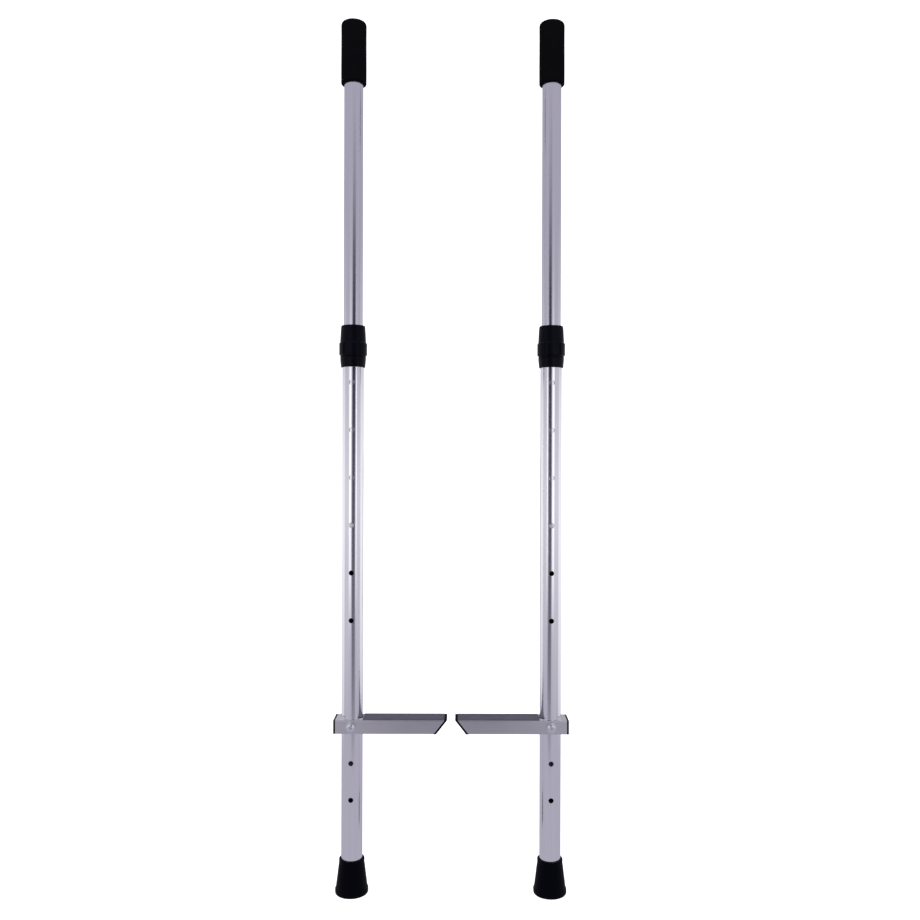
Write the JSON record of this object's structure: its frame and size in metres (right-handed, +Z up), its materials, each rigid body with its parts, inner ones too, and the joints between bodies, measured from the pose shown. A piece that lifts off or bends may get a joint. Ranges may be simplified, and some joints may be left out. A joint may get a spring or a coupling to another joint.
{
  "type": "adjustable walking stilts",
  "caption": "Pair of adjustable walking stilts: telescoping aluminium poles with snap button and twist lock, foam grips, rubber feet and bolted foot steps.",
  "frame": {"origin": "on the floor, midway between the two poles' axes", "axes": "+Z up along the poles, +X from the left stilt to the right one as seen from the front, -Y the front, which the snap buttons and bolt heads face"},
  "size_m": [0.321, 0.0536, 1.1975],
  "materials": {
    "tube_aluminium": "clear anodised, satin",
    "step_aluminium": "mill finish, brushed along its length",
    "black_plastic": "moulded, slight sheen",
    "foam_grip": "closed-cell foam, matt",
    "tread_rubber": "thin non-slip strip, fine grain",
    "rubber_foot": "moulded rubber, satin",
    "zinc_steel": "bright zinc plated",
    "spring_steel": "plain stainless"
  },
  "bodies": {
    "left_stilt": {"left_lower_tube": "tube_aluminium", "left_foot": "rubber_foot", "left_foot_washer": "spring_steel", "left_collar_body": "black_plastic", "left_step_tube": "step_aluminium", "left_step_heel_cap": "black_plastic", "left_step_tip_cap": "black_plastic", "left_tread": "tread_rubber", "left_bolt": "zinc_steel", "left_washer_front": "zinc_steel"},
    "left_upper_pole": {"left_upper_tube": "tube_aluminium", "left_end_plug": "black_plastic", "left_grip": "foam_grip", "left_snap_spring": "spring_steel"},
    "left_snap_button": {"left_snap_button": "spring_steel"},
    "left_collet": {"left_collet": "black_plastic"},
    "left_twist_nut": {"left_collar_nut": "black_plastic"},
    "left_back_washer": {"left_washer_back": "zinc_steel"},
    "left_wing_nut": {"left_wing_nut": "zinc_steel"},
    "right_stilt": {"right_lower_tube": "tube_aluminium", "right_foot": "rubber_foot", "right_foot_washer": "spring_steel", "right_collar_body": "black_plastic", "right_step_tube": "step_aluminium", "right_step_heel_cap": "black_plastic", "right_step_tip_cap": "black_plastic", "right_tread": "tread_rubber", "right_bolt": "zinc_steel", "right_washer_front": "zinc_steel"},
    "right_upper_pole": {"right_upper_tube": "tube_aluminium", "right_end_plug": "black_plastic", "right_grip": "foam_grip", "right_snap_spring": "spring_steel"},
    "right_snap_button": {"right_snap_button": "spring_steel"},
    "right_collet": {"right_collet": "black_plastic"},
    "right_twist_nut": {"right_collar_nut": "black_plastic"},
    "right_back_washer": {"right_washer_back": "zinc_steel"},
    "right_wing_nut": {"right_wing_nut": "zinc_steel"}
  },
  "joints": [
    {"name": "left_pole_slide", "type": "slide", "parent": "left_stilt", "child": "left_upper_pole", "axis": [0, 0, 1], "range_m": [-0.13, 0.195], "deforming": ["left_snap_spring", "left_snap_button"]},
    {"name": "left_button_press", "type": "slide", "parent": "left_upper_pole", "child": "left_snap_button", "axis": [0, 1, 0], "range_m": [0, 0.0036], "stiffness_N_per_m": 3000, "springref_m": -0.002, "deforming": ["left_snap_spring"]},
    {"name": "left_collet_lift", "type": "slide", "parent": "left_stilt", "child": "left_collet", "axis": [0, 0, 1], "range_m": [0, 0.002]},
    {"name": "left_collar_turn", "type": "hinge", "parent": "left_collet", "child": "left_twist_nut", "pos_m": [-0.1365, 0, 0.7588], "axis": [0, 0, 1], "range_deg": [0, 180]},
    {"name": "left_washer_loosen", "type": "slide", "parent": "left_stilt", "child": "left_back_washer", "axis": [0, 1, 0], "range_m": [0, 0.002]},
    {"name": "left_wing_turn", "type": "hinge", "parent": "left_back_washer", "child": "left_wing_nut", "pos_m": [-0.1365, 0.0221, 0.2314], "axis": [0, 1, 0], "range_deg": [0, 720]},
    {"name": "right_pole_slide", "type": "slide", "parent": "right_stilt", "child": "right_upper_pole", "axis": [0, 0, 1], "range_m": [-0.13, 0.195], "deforming": ["right_snap_spring", "right_snap_button"]},
    {"name": "right_button_press", "type": "slide", "parent": "right_upper_pole", "child": "right_snap_button", "axis": [0, 1, 0], "range_m": [0, 0.0036], "stiffness_N_per_m": 3000, "springref_m": -0.002, "deforming": ["right_snap_spring"]},
    {"name": "right_collet_lift", "type": "slide", "parent": "right_stilt", "child": "right_collet", "axis": [0, 0, 1], "range_m": [0, 0.002]},
    {"name": "right_collar_turn", "type": "hinge", "parent": "right_collet", "child": "right_twist_nut", "pos_m": [0.1365, 0, 0.7588], "axis": [0, 0, 1], "range_deg": [0, 180]},
    {"name": "right_washer_loosen", "type": "slide", "parent": "right_stilt", "child": "right_back_washer", "axis": [0, 1, 0], "range_m": [0, 0.002]},
    {"name": "right_wing_turn", "type": "hinge", "parent": "right_back_washer", "child": "right_wing_nut", "pos_m": [0.1365, 0.0221, 0.2314], "axis": [0, 1, 0], "range_deg": [0, 720]},
    {"name": "right_stilt_lift", "type": "slide", "parent": "left_stilt", "child": "right_stilt", "axis": [0, 0, 1], "range_m": [0, 0.3]}
  ],
  "couplings": [
    {"joint": "left_collet_lift", "follows": "left_collar_turn", "m_per_rad": 0.00063661},
    {"joint": "left_washer_loosen", "follows": "left_wing_turn", "m_per_rad": 0.00015915},
    {"joint": "right_collet_lift", "follows": "right_collar_turn", "m_per_rad": 0.00063661},
    {"joint": "right_washer_loosen", "follows": "right_wing_turn", "m_per_rad": 0.00015915}
  ]
}
